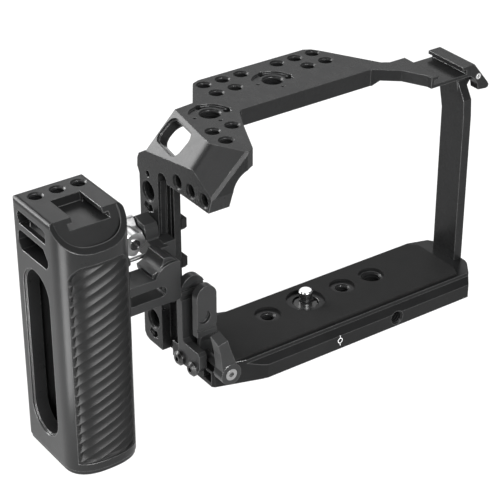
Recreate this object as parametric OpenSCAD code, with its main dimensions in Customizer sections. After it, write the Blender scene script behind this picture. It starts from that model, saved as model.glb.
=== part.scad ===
// Camera cage with a side handle on a clamp rail, in millimetres.
// The origin is on the camera screw's axis at the seat of the camera.
// X points to the camera's right, Y to its lens and Z up.

/* [Cage] */
// Distance from the camera screw's axis to the outer left face
left_face = 65.3; // [62:0.1:72]
// Distance from the camera screw's axis to the outer right face
right_face = 83.5; // [81:0.1:92]
// Height of the top face above the camera seat
cage_h = 98.5; // [94:0.1:110]
// Thickness of the left wall
wall_t = 7.8; // [7:0.1:9]
// Thickness of the arm that runs back over the left wall
arm_t = 10.3; // [9.5:0.1:12]
// Depth of the front bar from the camera screw's axis
bar_front = 45.9; // [43:0.1:50]
// Rear edge of the front bar
bar_rear = 11.3; // [9:0.1:13]
// Thickness of the front bar
bar_t = 8; // [7:0.1:10]
// Thickness of the right arm and the shoe
shoe_plate_t = 5.3; // [5:0.1:6.5]
// Rear end of the left arm behind the camera screw's axis
arm_rear = 22.5; // [20:0.1:26]
// Height of the left arm's lower edge
arm_low = 74.5; // [72:0.1:76]

/* [Base] */
// Thickness of the base plate
base_t = 11.3; // [10:0.1:14]
// Thickness of the rubber pad under the camera
pad_t = 1.2; // [0.8:0.1:2]
// Rear face of the base plate behind the camera screw's axis
base_rear = 26; // [24:0.1:30]
// Front edge of the base plate
base_front = 14; // [10:0.1:18]

/* [Rail] */
// Rear face of the clamp rail
strip_rear = 18.5; // [18.2:0.1:19.5]
// Depth of the clamp rail from its rear to its front face
strip_w = 14.5; // [13:0.1:16]
// Rear end of the left wall behind the rail
wall_rear = 13.2; // [12.8:0.1:13.4]
// Width of the channel behind the rail
channel_w = 7.4; // [7:0.1:8]
// Depth of the channel
channel_d = 4.5; // [4.2:0.1:4.8]
// Top of the channel
channel_top = 78; // [76:0.5:79]

/* [Holes] */
// Bore radius of a 1/4 inch threaded hole
quarter_r = 2.75; // [2.5:0.05:3]
// Bore radius of a 3/8 inch threaded hole
three_eighths_r = 4.2; // [4:0.05:4.5]
// Chamfer of a threaded hole's mouth
mouth = 0.75; // [0.4:0.05:1]
// Distance from one threaded hole to the next
pitch = 9.8; // [9.2:0.1:10.5]
// Radius of the arc recess around a locating hole
recess_r = 9.3; // [9:0.1:10]
// Depth of the arc recess
recess_d = 1; // [0.5:0.1:2]
// Distance from a locating hole to its pin holes
pin_ring = 8.4; // [8:0.1:8.8]

/* [Shoe] */
// Width between the shoe's lips
shoe_gap = 14; // [12.5:0.1:14.5]
// Width under the shoe's lips
shoe_slot = 18.7; // [18:0.1:19.5]
// Height of the slot under the lips
shoe_slot_h = 2.1; // [2:0.05:2.5]
// Thickness of the lips
lip_t = 1.6; // [1.4:0.1:2]
// Length of the shoe
shoe_len = 23.5; // [20:0.1:26]

/* [Handle] */
// Width of the handle
grip_w = 33.9; // [30:0.1:38]
// Depth of the handle from its front to its rear
grip_d = 43; // [40:0.1:46]
// Depth of the rounded rear of the handle
grip_round = 12.5; // [11:0.1:14]
// Height of the handle
grip_h = 119; // [110:0.5:130]
// Height of the handle's top above the camera seat
grip_top = 81.5; // [78:0.1:86]
// Distance from the camera screw's axis to the handle's near side
grip_near = 94.9; // [94:0.1:100]
// Front of the handle from the camera screw's axis
grip_front = 29.5; // [28:0.1:31]
// Wall of the handle
grip_wall = 7; // [5:0.1:8]
// Thickness of the wave grip
wave_t = 2; // [1.5:0.1:3]

/* [Clamp] */
// Rear face of the clamp arm behind the camera screw's axis
clamp_rear = 2; // [1:0.1:2.5]
// Thickness of the clamp arm
clamp_t = 12; // [10:0.1:12.2]
// Lower edge of the clamp arm above the camera seat
clamp_low = 26; // [25:0.1:28]
// Height of the clamp arm
clamp_h = 13.5; // [12:0.1:14]
// Radius of the clamp arm's round end
clamp_end_r = 9.7; // [8:0.1:10.5]
// Height of the clamp rod above the camera seat
rod_z = 46.6; // [46.4:0.1:47]
// Distance from the left face to the clamp rod's axis
rod_off = 12.9; // [12.8:0.1:13.1]
// Radius of the clamp rod
rod_r = 1.9; // [1.6:0.05:2.2]
// Travel of the front jaw
jaw_travel = 1.5; // [1:0.1:1.6]

/* [Cable clamp] */
// Front face of the far cable jaw
cable_front = 2.5; // [1.5:0.1:3]
// Width of the far cable jaw
cable_w = 11.9; // [11:0.1:12]
// Width of the near cable jaw
near_w = 10; // [9:0.1:10.5]
// Height of the jaws' round tops above the camera seat
cable_top = 34.6; // [30:0.1:35]
// Gap between the cable jaws
cable_gap = 5.3; // [4:0.1:6]
// Thickness of the cable jaws
cable_t = 3.7; // [3:0.1:3.7]
// Length of the thumb lever
thumb_len = 20.5; // [16:0.1:24]
// Radius of the cable clamp's rod
cable_rod_r = 2; // [1.8:0.05:2.2]

/* [Screws] */
// Radius of the small screws
screw_r = 1.5; // [1.4:0.05:1.6]
// Radius of the camera screw
camera_screw_r = 3.1; // [3:0.01:3.17]
// Length of the camera screw above the seat
camera_screw_len = 5.2; // [4.5:0.1:5.5]
// Running clearance of a turning or sliding shaft
run_fit = 0.05; // [0.02:0.01:0.1]
// Clearance between pieces that move past each other
gap = 0.3; // [0.2:0.05:0.4]

/* [Hidden] */

$fn = 64;
eps = 0.01;
screw_fit = 0.02;
drill_slope = 0.6;
big = 400;

left_x = -left_face;
right_x = right_face;
wall_in = left_x + wall_t;
arm_in = left_x + arm_t;
seat_z = -pad_t;
floor_z = seat_z - base_t;
strip_front = strip_rear + strip_w;
channel_x = left_x + channel_d;

// ---- shared shapes ----

// Extrudes an outline drawn in Y and Z along X, from x0 to x1.
module along_x(x0, x1) {
    translate([x0, 0, 0]) rotate([90, 0, 90]) linear_extrude(x1 - x0) children();
}

// Extrudes an outline drawn in X and Z along Y, from y0 to y1.
module along_y(y0, y1) {
    translate([0, y1, 0]) rotate([90, 0, 0]) linear_extrude(y1 - y0) children();
}

// Removes what lies beyond a plane through p with the outward normal n.
module beyond(p, n) {
    turn = atan2(n[1], n[0]);
    tilt = acos(n[2] / norm(n));
    translate(p) rotate([0, tilt, turn]) translate([-big / 2, -big / 2, 0]) cube(big);
}

// A box between two corners.
module box(a, b) {
    translate(a) cube(b - a);
}

// A flat shape with round corners, centred on the origin.
module round_rect(w, h, r) {
    square([w - 2 * r, h], center = true);
    square([w, h - 2 * r], center = true);
    for (x = [-1, 1], y = [-1, 1])
        translate([x * (w / 2 - r), y * (h / 2 - r)]) circle(r);
}

// A threaded hole's bore with a chamfered mouth, down from the origin.
// A blind one ends in the cone that its drill leaves.
module tapped(r, depth, through = false) {
    tip = r * drill_slope;
    translate([0, 0, -depth]) cylinder(h = depth + eps, r = r);
    translate([0, 0, -mouth]) cylinder(h = mouth + eps, r1 = r, r2 = r + mouth + eps);
    if (through)
        translate([0, 0, -depth - eps]) cylinder(h = mouth, r1 = r + mouth, r2 = r);
    else
        translate([0, 0, -depth - tip]) cylinder(h = tip, r1 = 0.1, r2 = r);
}

// A locating hole: a threaded bore, an arc recess and pin holes.
module locating(depth, start = -25, sweep = 177, pins = [0, 90], marks = [180, 270]) {
    tapped(three_eighths_r, depth);
    collar = three_eighths_r + mouth + 0.9;
    rotate([0, 0, start]) translate([0, 0, -recess_d])
        rotate_extrude(angle = sweep) translate([collar, 0]) square([recess_r - collar, recess_d + eps]);
    for (a = pins) rotate([0, 0, a]) translate([pin_ring, 0, -4]) cylinder(h = 4 + eps, r = 1.55);
    for (a = marks) rotate([0, 0, a]) translate([pin_ring - 0.6, 0, -3]) cylinder(h = 3 + eps, r = 0.8);
}

// A screw along +Z with its head's top at the origin.
module screw(len, r, head_r, head_h, drive_r, sides = 6) {
    difference() {
        union() {
            translate([0, 0, -head_h]) cylinder(h = head_h, r = head_r);
            translate([0, 0, -len]) cylinder(h = len - head_h + eps, r = r);
        }
        translate([0, 0, -head_h * 0.6]) cylinder(h = head_h, r = drive_r, $fn = sides);
    }
}

// The hole for a screw: a clear shank and a seat for its head.
module screw_hole(len, r, head_r, head_h) {
    translate([0, 0, -len - 0.2]) cylinder(h = len + 0.2, r = r + screw_fit);
    translate([0, 0, -head_h]) cylinder(h = head_h + 5, r = head_r + 0.1);
}

// Turns a shape's +Z to the left, to the rear or down.
module face_left() { rotate([0, -90, 0]) children(); }
module face_rear() { rotate([90, 0, 0]) children(); }
module face_down() { rotate([180, 0, 0]) children(); }

// ---- top of the cage ----

shoe_x = right_x - 13.8;
shoe_rear = -11;
shoe_front = shoe_rear + shoe_len;
shoe_floor = cage_h - lip_t - shoe_slot_h;
lip_left = shoe_x - shoe_gap / 2;
lip_right = shoe_x + shoe_gap / 2;
slant_n = [-1, 0.172, 1];
slant_p = [left_x + 15.1, 27.2, cage_h];
knee_x = left_x + 8.9;
knee_y = -7.2;
rear_n = [-0.636, -0.361, 0.682];
rear_edge = [left_x + 17.6, -arm_rear, cage_h];
corner_front = 27.3;
lens_x = 0.6;
hole_row = bar_front - 5.3;
hole_row_2 = hole_row - pitch;
locate_top = [[lens_x, 27.4], [left_x + 25, 15.5]];
rear_trio = [left_x + 16.6, 1.2];

module top_outline() {
    difference() {
        polygon([
            [left_x, -arm_rear], [left_x + 17.6, -arm_rear], [left_x + 21.3, -arm_rear + 1.7],
            [left_x + 31.6, 1.5], [left_x + 35.9, 9.5], [left_x + 38.2, bar_rear],
            [42.5, bar_rear], [53, 2.6], [58.6, -8.5], [lip_left - 4, shoe_rear],
            [right_x, shoe_rear], [right_x, shoe_front], [lip_left - 8.5, shoe_front],
            [lip_left - 11.9, shoe_front + 2.3],
            [36.2, bar_front - 4.9], [34, bar_front - 1.8], [30.9, bar_front],
            [left_x + 39.2, bar_front], [left_x + 35.6, bar_front - 1.4], [left_x + 33.8, bar_front - 3.9],
            [left_x + 24.6, 28.2], [left_x + 15.1, corner_front], [left_x, corner_front]]);
        // the concave curve where the right arm leaves the bar
        translate([lip_left - 7.6, shoe_front + 8.6]) circle(6);
    }
}

module tapped_top(x, y, depth) {
    translate([x, y, cage_h]) tapped(quarter_r, depth, depth < bar_t + eps);
}

module top_plate() {
    thin_x = 43;
    difference() {
        translate([0, 0, cage_h - bar_t]) linear_extrude(bar_t) top_outline();
        // the right arm is thinner than the front bar
        along_y(-30, 60) polygon([
            [thin_x, cage_h - bar_t - 1], [thin_x, cage_h - bar_t],
            [thin_x + bar_t - shoe_plate_t, cage_h - shoe_plate_t],
            [right_x + 1, cage_h - shoe_plate_t], [right_x + 1, cage_h - bar_t - 1]]);
    }
}

module shoe_cut() {
    y0 = shoe_rear - 1;
    y1 = shoe_front + 9;
    box([lip_left, y0, shoe_floor], [lip_right, y1, cage_h + 1]);
    box([shoe_x - shoe_slot / 2, y0, shoe_floor], [shoe_x + shoe_slot / 2, y1, cage_h - lip_t]);
}

// The fork that holds the right leg's tongue and the strap.
fork_out = 9.3;
fork_screw_pos = [right_x + 2.8, cage_h - 6.5];
fork_wall = 5;

module fork_outline() {
    x = right_x;
    z = cage_h;
    difference() {
        polygon([[x - 6.6, z], [x, z], [x + fork_out - 0.8, z - 10.6], [x + fork_out, z - 12],
            [x + fork_out - 0.4, z - 13.2], [x + fork_out - 1.6, z - 13.6], [x + 3.1, z - 13.1],
            [x + 2.5, z - 10.2], [x + 0.8, z - 7.3], [x - 2.1, z - 5.2], [x - 6.6, z - 5.2]]);
        translate([x - 4.4, z - 13.5]) circle(7.2);
    }
}

module fork() {
    for (y = [shoe_rear, shoe_front - fork_wall]) along_y(y, y + fork_wall) fork_outline();
    along_y(shoe_rear, shoe_front) polygon([
        [right_x - 6.6, cage_h - shoe_plate_t], [right_x - 6.6, cage_h], [right_x, cage_h],
        [right_x + 2.4, cage_h - 3], [right_x - 1, cage_h - shoe_plate_t]]);
}

// ---- left side of the cage ----

v_depth = 1.2;
skin_t = 4.3;
ledge_z = seat_z - 5.8;
ledge_x = left_x + skin_t;

module wall_outline() {
    polygon([
        [strip_front - 4, floor_z], [strip_front - 1.3, floor_z + 0.9], [strip_front, floor_z + 3],
        [strip_front, cage_h - 28], [strip_front + 1.6, cage_h - 25], [strip_front + 1.3, cage_h - 21],
        [strip_front, cage_h - 18.3], [corner_front, cage_h - 14.7], [corner_front, cage_h],
        [-arm_rear, cage_h], [-arm_rear, arm_low + 7.6], [-arm_rear + 2.7, arm_low],
        [wall_rear, arm_low], [wall_rear, floor_z + 3], [wall_rear + 2.4, floor_z]]);
}

// The channel behind the rail, with a round top.
module channel() {
    r = channel_w / 2;
    box([left_x - 1, strip_rear - channel_w, floor_z - 5], [channel_x, strip_rear, channel_top - r]);
    translate([channel_x, strip_rear - r, channel_top - r]) face_left() cylinder(h = channel_d + 1, r = r);
}

lock_y = 14.8;
lock_z = rod_z - 4.9;
groove_w = 2.1;
groove_d = 1.3;

module rail_cuts() {
    // the V grooves in the rail's rear and front faces
    translate([0, 0, 8]) linear_extrude(channel_top - 14) {
        polygon([[left_x + 0.3, strip_rear - eps], [left_x + 2, strip_rear + v_depth],
            [left_x + 3.7, strip_rear - eps]]);
        polygon([[left_x + 0.3, strip_front + eps], [left_x + 2, strip_front - v_depth],
            [left_x + 3.7, strip_front + eps]]);
    }
    // the groove that keeps the lock pin
    box([channel_x - 1, lock_y - groove_w / 2, 12], [channel_x + groove_d, lock_y + groove_w / 2, 71]);
}

// The hollow under the arm and the bar.
module arm_inside() {
    r = bar_t + 2;
    along_y(-60, corner_front + 60) difference() {
        polygon([[arm_in, floor_z - 10], [right_x + 40, floor_z - 10], [right_x + 40, cage_h - bar_t],
            [arm_in, cage_h - bar_t]]);
        difference() {
            translate([arm_in - eps, cage_h - bar_t - r]) square([r + eps, r + eps]);
            translate([arm_in + r, cage_h - bar_t - r]) circle(r);
        }
    }
}

strap_p = [left_x + 7.1, 16.2, 0];
strap_z = strap_p[0] - slant_p[0] - 0.172 * (strap_p[1] - slant_p[1]) + cage_h;

module strap_opening() {
    turn = atan2(slant_n[1], slant_n[0]);
    tilt = acos(slant_n[2] / norm(slant_n));
    translate([strap_p[0], strap_p[1], strap_z]) rotate([0, tilt, turn]) {
        translate([0, 0, -25]) linear_extrude(30) round_rect(11.6, 20, 3.6);
        translate([0, 0, -1.2]) linear_extrude(10) round_rect(12.8, 21.2, 4.2);
        // the wall behind the opening is thinner
        translate([0, 0, -25.5]) linear_extrude(20) round_rect(15, 23, 3.6);
    }
}

side_locate = [[strip_rear + 7.7, cage_h - 34], [strip_rear + 6.7, 0.6]];
arm_holes = [3.2, -6.6, -16.4];
foot_screws = [[wall_in - 1.9, wall_rear + 2.9], [wall_in - 1.9, strip_front - 2.6]];
foot_screw_len = 9;
foot_screw_r = 1.2;
foot_head_r = 1.9;
leg_screw_len = 18;
leg_screw_y = [-7.5, 0.9];
leg_t = 4.5;
leg_in = right_x - leg_t;

module left_side() {
    along_x(left_x, wall_in) wall_outline();
    difference() {
        intersection() {
            box([left_x, -arm_rear, arm_low], [left_x + 24, corner_front, cage_h]);
            translate([0, 0, arm_low]) linear_extrude(cage_h - arm_low) top_outline();
        }
        arm_inside();
    }
}

module foot_screw_holes() {
    for (p = foot_screws) translate([p[0], p[1], floor_z]) face_down()
        screw_hole(foot_screw_len, foot_screw_r, foot_head_r, 1.6);
}

module leg_screw_holes() {
    for (y = leg_screw_y) translate([right_x - leg_t / 2, y, floor_z]) face_down()
        screw_hole(leg_screw_len, 1.25, 2.3, 1.8);
}

module cage_frame() {
    color([0.27, 0.27, 0.29]) difference() {
        union() {
            top_plate();
            left_side();
            fork();
        }
        beyond(slant_p, slant_n);
        beyond([knee_x, knee_y, cage_h], rear_n);
        // the narrow bevels round the rear end
        beyond(rear_edge + [0.22, 0.47, -0.24], rear_n + [0, -1, 0]);
        beyond([left_x, -arm_rear, arm_low + 7.6], [0, -7.6, -2.7]);
        // the step that the base plate's ledge fills
        box([ledge_x, wall_rear - 1, floor_z - 1], [wall_in + 1, strip_front + 1, ledge_z]);
        channel();
        rail_cuts();
        strap_opening();
        shoe_cut();
        for (i = [0, 1, 2, 4, 5, 6]) tapped_top(-26.6 + i * pitch, hole_row, bar_t);
        for (i = [0, 1, 5, 6]) tapped_top(-26.6 + i * pitch, hole_row_2, bar_t);
        tapped_top(rear_trio[0] + pitch, rear_trio[1], bar_t + 3);
        tapped_top(rear_trio[0], rear_trio[1], bar_t + 3);
        tapped_top(rear_trio[0], rear_trio[1] - pitch, bar_t + 3);
        for (p = locate_top) translate([p[0], p[1], cage_h]) locating(bar_t + 1);
        for (p = side_locate) translate([left_x, p[0], p[1]]) face_left()
            locating(wall_t + 1, 155, 50, [0, 180], []);
        for (y = arm_holes) translate([left_x, y, arm_low + 4.4]) face_left() tapped(quarter_r, arm_t, true);
        foot_screw_holes();
        translate([fork_screw_pos[0], shoe_rear, fork_screw_pos[1]]) face_rear() screw_hole(shoe_len - 1.5, 1, 1.4, 1.4);
    }
}

// Two pads inside the left wall that keep the camera straight.
module side_pads() {
    pad_out = 2.7;
    y0 = wall_rear - 0.4;
    color([0.1, 0.1, 0.1]) for (z = [29, 48]) along_x(wall_in, wall_in + pad_out)
        polygon([[y0, z + 2], [y0 + 2, z], [y0 + 7, z], [y0 + 7, z + 6.4], [y0, z + 6.4]]);
}

// ---- base ----

// Where the cable clamp sits, the base plate is lower.
base_left = left_x + 1.8;
foot_t = 3.8;
cable_x = base_left - foot_t + cable_w / 2;
cable_seat = seat_z - 3.4;
recess_right = cable_x + cable_w / 2 + 0.8;
cable_room = cable_front + gap;

module base_outline() {
    polygon([
        [wall_in, strip_front - 1.4], [ledge_x, strip_front - 1.4], [ledge_x, wall_rear + 0.1],
        [base_left, wall_rear - 0.4], [base_left, -base_rear + 8.2], [base_left + 1, -base_rear + 7.1],
        [left_x + 23, -base_rear + 0.7], [left_x + 26, -base_rear], [right_x - 8, -base_rear], [right_x - 1, -base_rear + 9.5],
        [right_x, -base_rear + 12], [right_x, base_front - 6], [right_x - 2, base_front - 3],
        [right_x - 12, base_front], [-34, base_front], [-42, base_front + 3], [-50, strip_front - 7],
        [-52, strip_front - 6]]);
}

tripod_x = [-21, 21];
tripod_big_x = 38;

module base_plate() {
    bevel = 2.8;
    color([0.16, 0.16, 0.17]) difference() {
        translate([0, 0, floor_z]) linear_extrude(base_t) base_outline();
        // rear bevel and the step under the pad
        along_x(left_x - 5, right_x + 5) polygon([
            [-base_rear - 1, seat_z - 3.6 - 1], [-base_rear, seat_z - 4.6], [-base_rear + bevel, seat_z - 1.8],
            [-base_rear + bevel, seat_z + 1], [-base_rear - 1, seat_z + 1]]);
        // the room for the cable clamp and under the left wall
        box([base_left - 1, -base_rear - 1, cable_seat], [recess_right, cable_room, seat_z + 1]);
        box([base_left - 1, -base_rear - 1, cable_seat], [wall_in, wall_rear, seat_z + 1]);
        box([ledge_x - 1, wall_rear - eps, ledge_z], [wall_in, strip_front + 1, seat_z + 1]);
        // the camera screw and its clip
        translate([0, 0, floor_z - 1]) cylinder(h = base_t + 2, r = camera_screw_r + run_fit);
        translate([0, 0, floor_z - 1]) cylinder(h = 6, r = 8.4);
        translate([0, 0, seat_z - 2.2]) cylinder(h = 3, r = 6);
        // tripod holes
        for (x = tripod_x) translate([x, 0, floor_z]) face_down() tapped(quarter_r, base_t, true);
        translate([tripod_big_x, 0, floor_z]) face_down() tapped(three_eighths_r, base_t, true);
        translate([32.6, -base_rear, floor_z + 4.4]) face_rear() tapped(quarter_r, 12);
        // the pocket in the left end
        box([base_left - 1, -17.4, floor_z + 1.9], [base_left + 8, -11.2, cable_seat - 1.2]);
        foot_screw_holes();
        leg_screw_holes();
        for (y = cable_screw_y) translate([base_left, y, cable_screw_z]) face_left()
            translate([0, 0, -9]) cylinder(h = 10, r = cable_screw_r + screw_fit);
    }
}

module base_pad() {
    color([0.06, 0.06, 0.06]) translate([0, 0, seat_z]) linear_extrude(pad_t) difference() {
        polygon([
            [recess_right + 1, base_front - 2], [recess_right + 1, -base_rear + 4.4],
            [right_x - 12, -base_rear + 4.4], [right_x - 10, -base_rear + 9], [right_x - 10, base_front - 6],
            [right_x - 14, base_front - 2]]);
        circle(9);
        for (x = concat(tripod_x, [tripod_big_x])) translate([x, 0]) circle(6);
    }
}

module right_leg() {
    z_top = cage_h - shoe_plate_t;
    y0 = shoe_rear + fork_wall + gap;
    y1 = shoe_front - fork_wall - gap;
    color([0.14, 0.14, 0.15]) difference() {
        union() {
            // flange under the shoe, tongue in the fork and the leg itself
            along_y(y0 + 4, y1) polygon([
                [right_x - 17.7, z_top], [right_x - 17.7, z_top - 4.6], [right_x - 16.6, z_top - 5.4],
                [leg_in + eps, z_top - 5.4], [leg_in + eps, z_top]]);
            along_y(y0, y1) polygon([
                [leg_in - 1, z_top], [right_x - 0.6, z_top - 0.2], [right_x + 2.6, z_top + 0.7],
                [right_x + 4.6, z_top - 0.5], [right_x + 4.6, z_top - 2.6], [right_x + 2.8, z_top - 4.4],
                [right_x, z_top - 9], [leg_in, z_top - 9]]);
            along_x(leg_in, right_x) polygon([
                [y0, z_top - 4], [shoe_rear + 0.6, z_top - 12], [shoe_rear, z_top - 20],
                [shoe_rear, seat_z], [4, seat_z], [4, z_top - 20], [y1, z_top - 6], [y1, z_top - 4]]);
        }
        translate([fork_screw_pos[0], shoe_rear, fork_screw_pos[1]]) face_rear() screw_hole(shoe_len - 1.5, 1, 1.4, 1.4);
        leg_screw_holes();
    }
}

module fork_screw() {
    color([0.85, 0.85, 0.86])
        translate([fork_screw_pos[0], shoe_rear, fork_screw_pos[1]]) face_rear() screw(shoe_len - 1.5, 1, 1.4, 1.4, 0.7);
}

module frame_screws() {
    color([0.3, 0.3, 0.31]) {
        for (p = foot_screws) translate([p[0], p[1], floor_z]) face_down()
            screw(foot_screw_len, foot_screw_r, foot_head_r, 1.6, 0.9);
        for (y = leg_screw_y) translate([right_x - leg_t / 2, y, floor_z]) face_down()
            screw(leg_screw_len, 1.25, 2.3, 1.8, 1);
    }
}

module camera_screw() {
    head_h = 4;
    top = floor_z + 5;
    neck_z = seat_z - 1.6;
    color([0.75, 0.75, 0.76]) difference() {
        union() {
            translate([0, 0, top - gap - head_h]) cylinder(h = head_h, r = 8.2);
            cylinder_from(top - gap - 1, camera_screw_len - 0.6, camera_screw_r);
            translate([0, 0, camera_screw_len - 0.6]) cylinder(h = 0.6, r1 = camera_screw_r, r2 = camera_screw_r - 0.5);
        }
        box([-8.4, -0.9, top - head_h - 1], [8.4, 0.9, top - gap - head_h + 2]);
        // the groove for the clip
        translate([0, 0, neck_z]) difference() {
            cylinder(h = 0.9, r = camera_screw_r + 1);
            translate([0, 0, -1]) cylinder(h = 3, r = camera_screw_r - 0.5);
        }
    }
}

module cylinder_from(z0, z1, r) {
    translate([0, 0, z0]) cylinder(h = z1 - z0, r = r);
}

module camera_screw_clip() {
    color([0.3, 0.3, 0.32]) translate([0, 0, seat_z - 1.6 + 0.05]) difference() {
        cylinder(h = 0.8, r = 5.4);
        translate([0, 0, -1]) cylinder(h = 3, r = camera_screw_r - 0.45);
        box([0, -1, -1], [6, 1, 2]);
    }
}

// ---- cable clamp ----

cable_screw_y = [cable_front - 1.6, cable_front - 11.9];
cable_screw_r = 1.2;
cable_screw_z = cable_seat - cable_screw_r - 0.2;
cable_head_r = 3.4;
far_y = cable_front;
far_rear = far_y - cable_t;
near_front = far_rear - cable_gap;
near_rear = near_front - cable_t;
cable_rod_x = left_x + 5;
cable_rod_z = -1.4;
hub_rear = -28.3;
hub_t = 6;

// A jaw's outline in X and Z: straight sides and a round top.
module arch(x, w, low, top) {
    translate([x, top - w / 2]) circle(w / 2);
    translate([x - w / 2, low]) square([w, top - w / 2 - low]);
}

module cable_bracket() {
    color([0.2, 0.2, 0.21]) difference() {
        union() {
            along_y(far_rear, far_y) arch(cable_x, cable_w, cable_seat, cable_top);
            along_x(base_left - foot_t, base_left) polygon([
                [far_y, 24], [far_rear, 24], [far_rear, 4.6], [far_rear - 2, 3.4], [-13, 3.4], [-14.2, 2.2],
                [-14.2, -4], [-12, floor_z + 5.3], [far_y, floor_z + 3.8]]);
        }
        // the stepped grips of the fixed jaw
        for (z = [25.2, 29.4]) along_x(cable_x - 20, cable_x + 20) polygon([
            [far_rear - 1, z - 1.2], [far_rear + 1, z - 1.2], [far_rear + 1, z + 1.2], [far_rear - 1, z + 1.2]]);
        for (y = cable_screw_y) translate([base_left - foot_t, y, cable_screw_z]) face_left()
            translate([0, 0, -12]) cylinder(h = 13, r = cable_screw_r + screw_fit);
        translate([cable_rod_x, 0, cable_rod_z]) rotate([90, 0, 0])
            translate([0, 0, -far_y - 1]) cylinder(h = cable_t + 2, r = cable_rod_r + run_fit);
    }
}

module cable_screws() {
    color([0.3, 0.3, 0.31]) for (y = cable_screw_y)
        translate([base_left - foot_t, y, cable_screw_z]) face_left() difference() {
            union() {
                cylinder(h = 0.9, r = cable_head_r);
                translate([0, 0, 0.9]) cylinder(h = 1, r1 = cable_head_r, r2 = cable_head_r - 1.2);
                translate([0, 0, -12]) cylinder(h = 12.1, r = cable_screw_r);
            }
            translate([0, 0, 0.6]) cylinder(h = 3, r = 1.3, $fn = 6);
        }
}

cable_jaw_low = 9;
near_x = cable_x + 1;
near_top = cable_top - 1.1;
near_foot = cable_seat + 0.5;
align_pin = [near_x + 2.6, 21];

module cable_jaw() {
    color([0.24, 0.24, 0.25]) difference() {
        union() {
            along_y(near_rear, near_front) intersection() {
                arch(near_x, near_w, cable_jaw_low, near_top);
                polygon([[near_x - 20, 0], [near_x - 20, near_top - 5.4], [near_x - 2.4, near_top + 12],
                    [near_x + 20, near_top + 12], [near_x + 20, 0]]);
            }
            // the stepped foot that carries the rod
            along_x(base_left + gap, near_x + near_w / 2 - 1.4) polygon([
                [near_rear, cable_jaw_low + 0.1], [near_rear + 1.6, cable_jaw_low - 3.5],
                [near_rear + 1.6, near_foot], [near_front, near_foot], [near_front, cable_jaw_low + 0.1]]);
        }
        // the groove across the jaw above its foot
        along_x(near_x - 20, near_x + 20) polygon([[near_rear - 1, 11.2], [near_rear + 0.6, 11.8],
            [near_rear + 0.6, 13.4], [near_rear - 1, 14]]);
        translate([cable_rod_x, 0, cable_rod_z]) rotate([90, 0, 0])
            translate([0, 0, -near_front - 1]) cylinder(h = cable_t + 2, r = cable_rod_r + run_fit);
        // the crescent round the jaw's pin
        translate([near_x - 1.4, near_rear, 18.5]) rotate([90, 0, 0]) translate([0, 0, -1.6]) difference() {
            cylinder(h = 3, r = 3.2);
            translate([-2, 2, -1]) cylinder(h = 5, r = 3.6);
        }
        translate([align_pin[0], 0, align_pin[1]]) rotate([90, 0, 0])
            translate([0, 0, -near_front - 1]) cylinder(h = cable_t, r = 1 + run_fit);
    }
}

// The pin that keeps the two cable jaws in line.
module cable_lock_pin() {
    color([0.6, 0.6, 0.62]) translate([align_pin[0], 0, align_pin[1]]) rotate([90, 0, 0])
        translate([0, 0, -far_rear]) cylinder(h = cable_gap + 2.4, r = 1);
}

module cable_rod() {
    color([0.1, 0.1, 0.1]) translate([cable_rod_x, 0, cable_rod_z]) rotate([90, 0, 0])
        translate([0, 0, -far_y + 0.2]) cylinder(h = far_y - 0.2 - hub_rear - 2.5, r = cable_rod_r);
}

thumb_lean = 13;

module thumb_lever() {
    r = 5;
    color([0.22, 0.22, 0.23]) difference() {
        union() {
            translate([cable_rod_x, hub_rear + hub_t, cable_rod_z]) rotate([90, 0, 0]) cylinder(h = hub_t, r = r);
            translate([cable_rod_x, 0, cable_rod_z]) rotate([0, -thumb_lean, 0]) difference() {
                along_y(hub_rear + 0.3, hub_rear + hub_t - 0.3) polygon([
                    [-r + 0.8, -1], [-2.5, thumb_len - 8], [-2.4, thumb_len], [2.2, thumb_len],
                    [2.7, thumb_len - 8], [r - 0.8, -1]]);
                // the thumb face slopes down to the rear
                beyond([0, hub_rear + 0.3, thumb_len - 3], [0, -0.45, 1]);
            }
        }
        translate([cable_rod_x, 0, cable_rod_z]) rotate([90, 0, 0]) {
            translate([0, 0, -hub_rear - 2.5]) cylinder(h = 4, r = 2.7 + screw_fit);
            translate([0, 0, -hub_rear - 20]) cylinder(h = 18, r = cable_rod_r + screw_fit);
        }
    }
}

module thumb_lever_screw() {
    color([0.85, 0.85, 0.86]) translate([cable_rod_x, hub_rear, cable_rod_z]) rotate([90, 0, 0]) difference() {
        translate([0, 0, -2.5]) cylinder(h = 2.6, r = 2.7);
        translate([0, 0, -1]) cylinder(h = 3, r = 1.3, $fn = 6);
    }
}

// ---- handle ----

grip_x1 = -grip_near;
grip_x0 = grip_x1 - grip_w;
grip_mid = (grip_x0 + grip_x1) / 2;
grip_flat = grip_front - grip_d + grip_round;
grip_bottom = grip_top - grip_h;
grip_rear = grip_flat - grip_round;
cap_t = 1.8;
ellipse_steps = 48;

// The handle's plan: flat sides and front, and a full round at the rear.
module grip_outline(inset = 0) {
    a = grip_w / 2 - inset;
    b = grip_round - inset;
    r = 3;
    polygon(concat(
        [for (i = [0:ellipse_steps]) let (t = 180 + 180 * i / ellipse_steps)
            [grip_mid + a * sign(cos(t)) * pow(abs(cos(t)), 0.8), grip_flat - b * pow(abs(sin(t)), 0.8)]],
        [for (i = [0:6]) [grip_mid + a - r + r * cos(i * 15), grip_front - inset - r + r * sin(i * 15)]],
        [for (i = [6:12]) [grip_mid - a + r + r * cos(i * 15), grip_front - inset - r + r * sin(i * 15)]]));
}

// An outline drawn in Y and Z, cut into the handle's left side.
module left_pocket(depth) {
    along_x(grip_x0 - 1, grip_x0 + depth) children();
}

module upper_slot() {
    polygon([[grip_flat + 2.4, 76.2], [grip_flat + 4.6, 77], [grip_front - 5.6, 77], [grip_front - 4.6, 74],
        [grip_front - 6.2, 71], [grip_flat + 2.6, 71]]);
}

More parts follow.
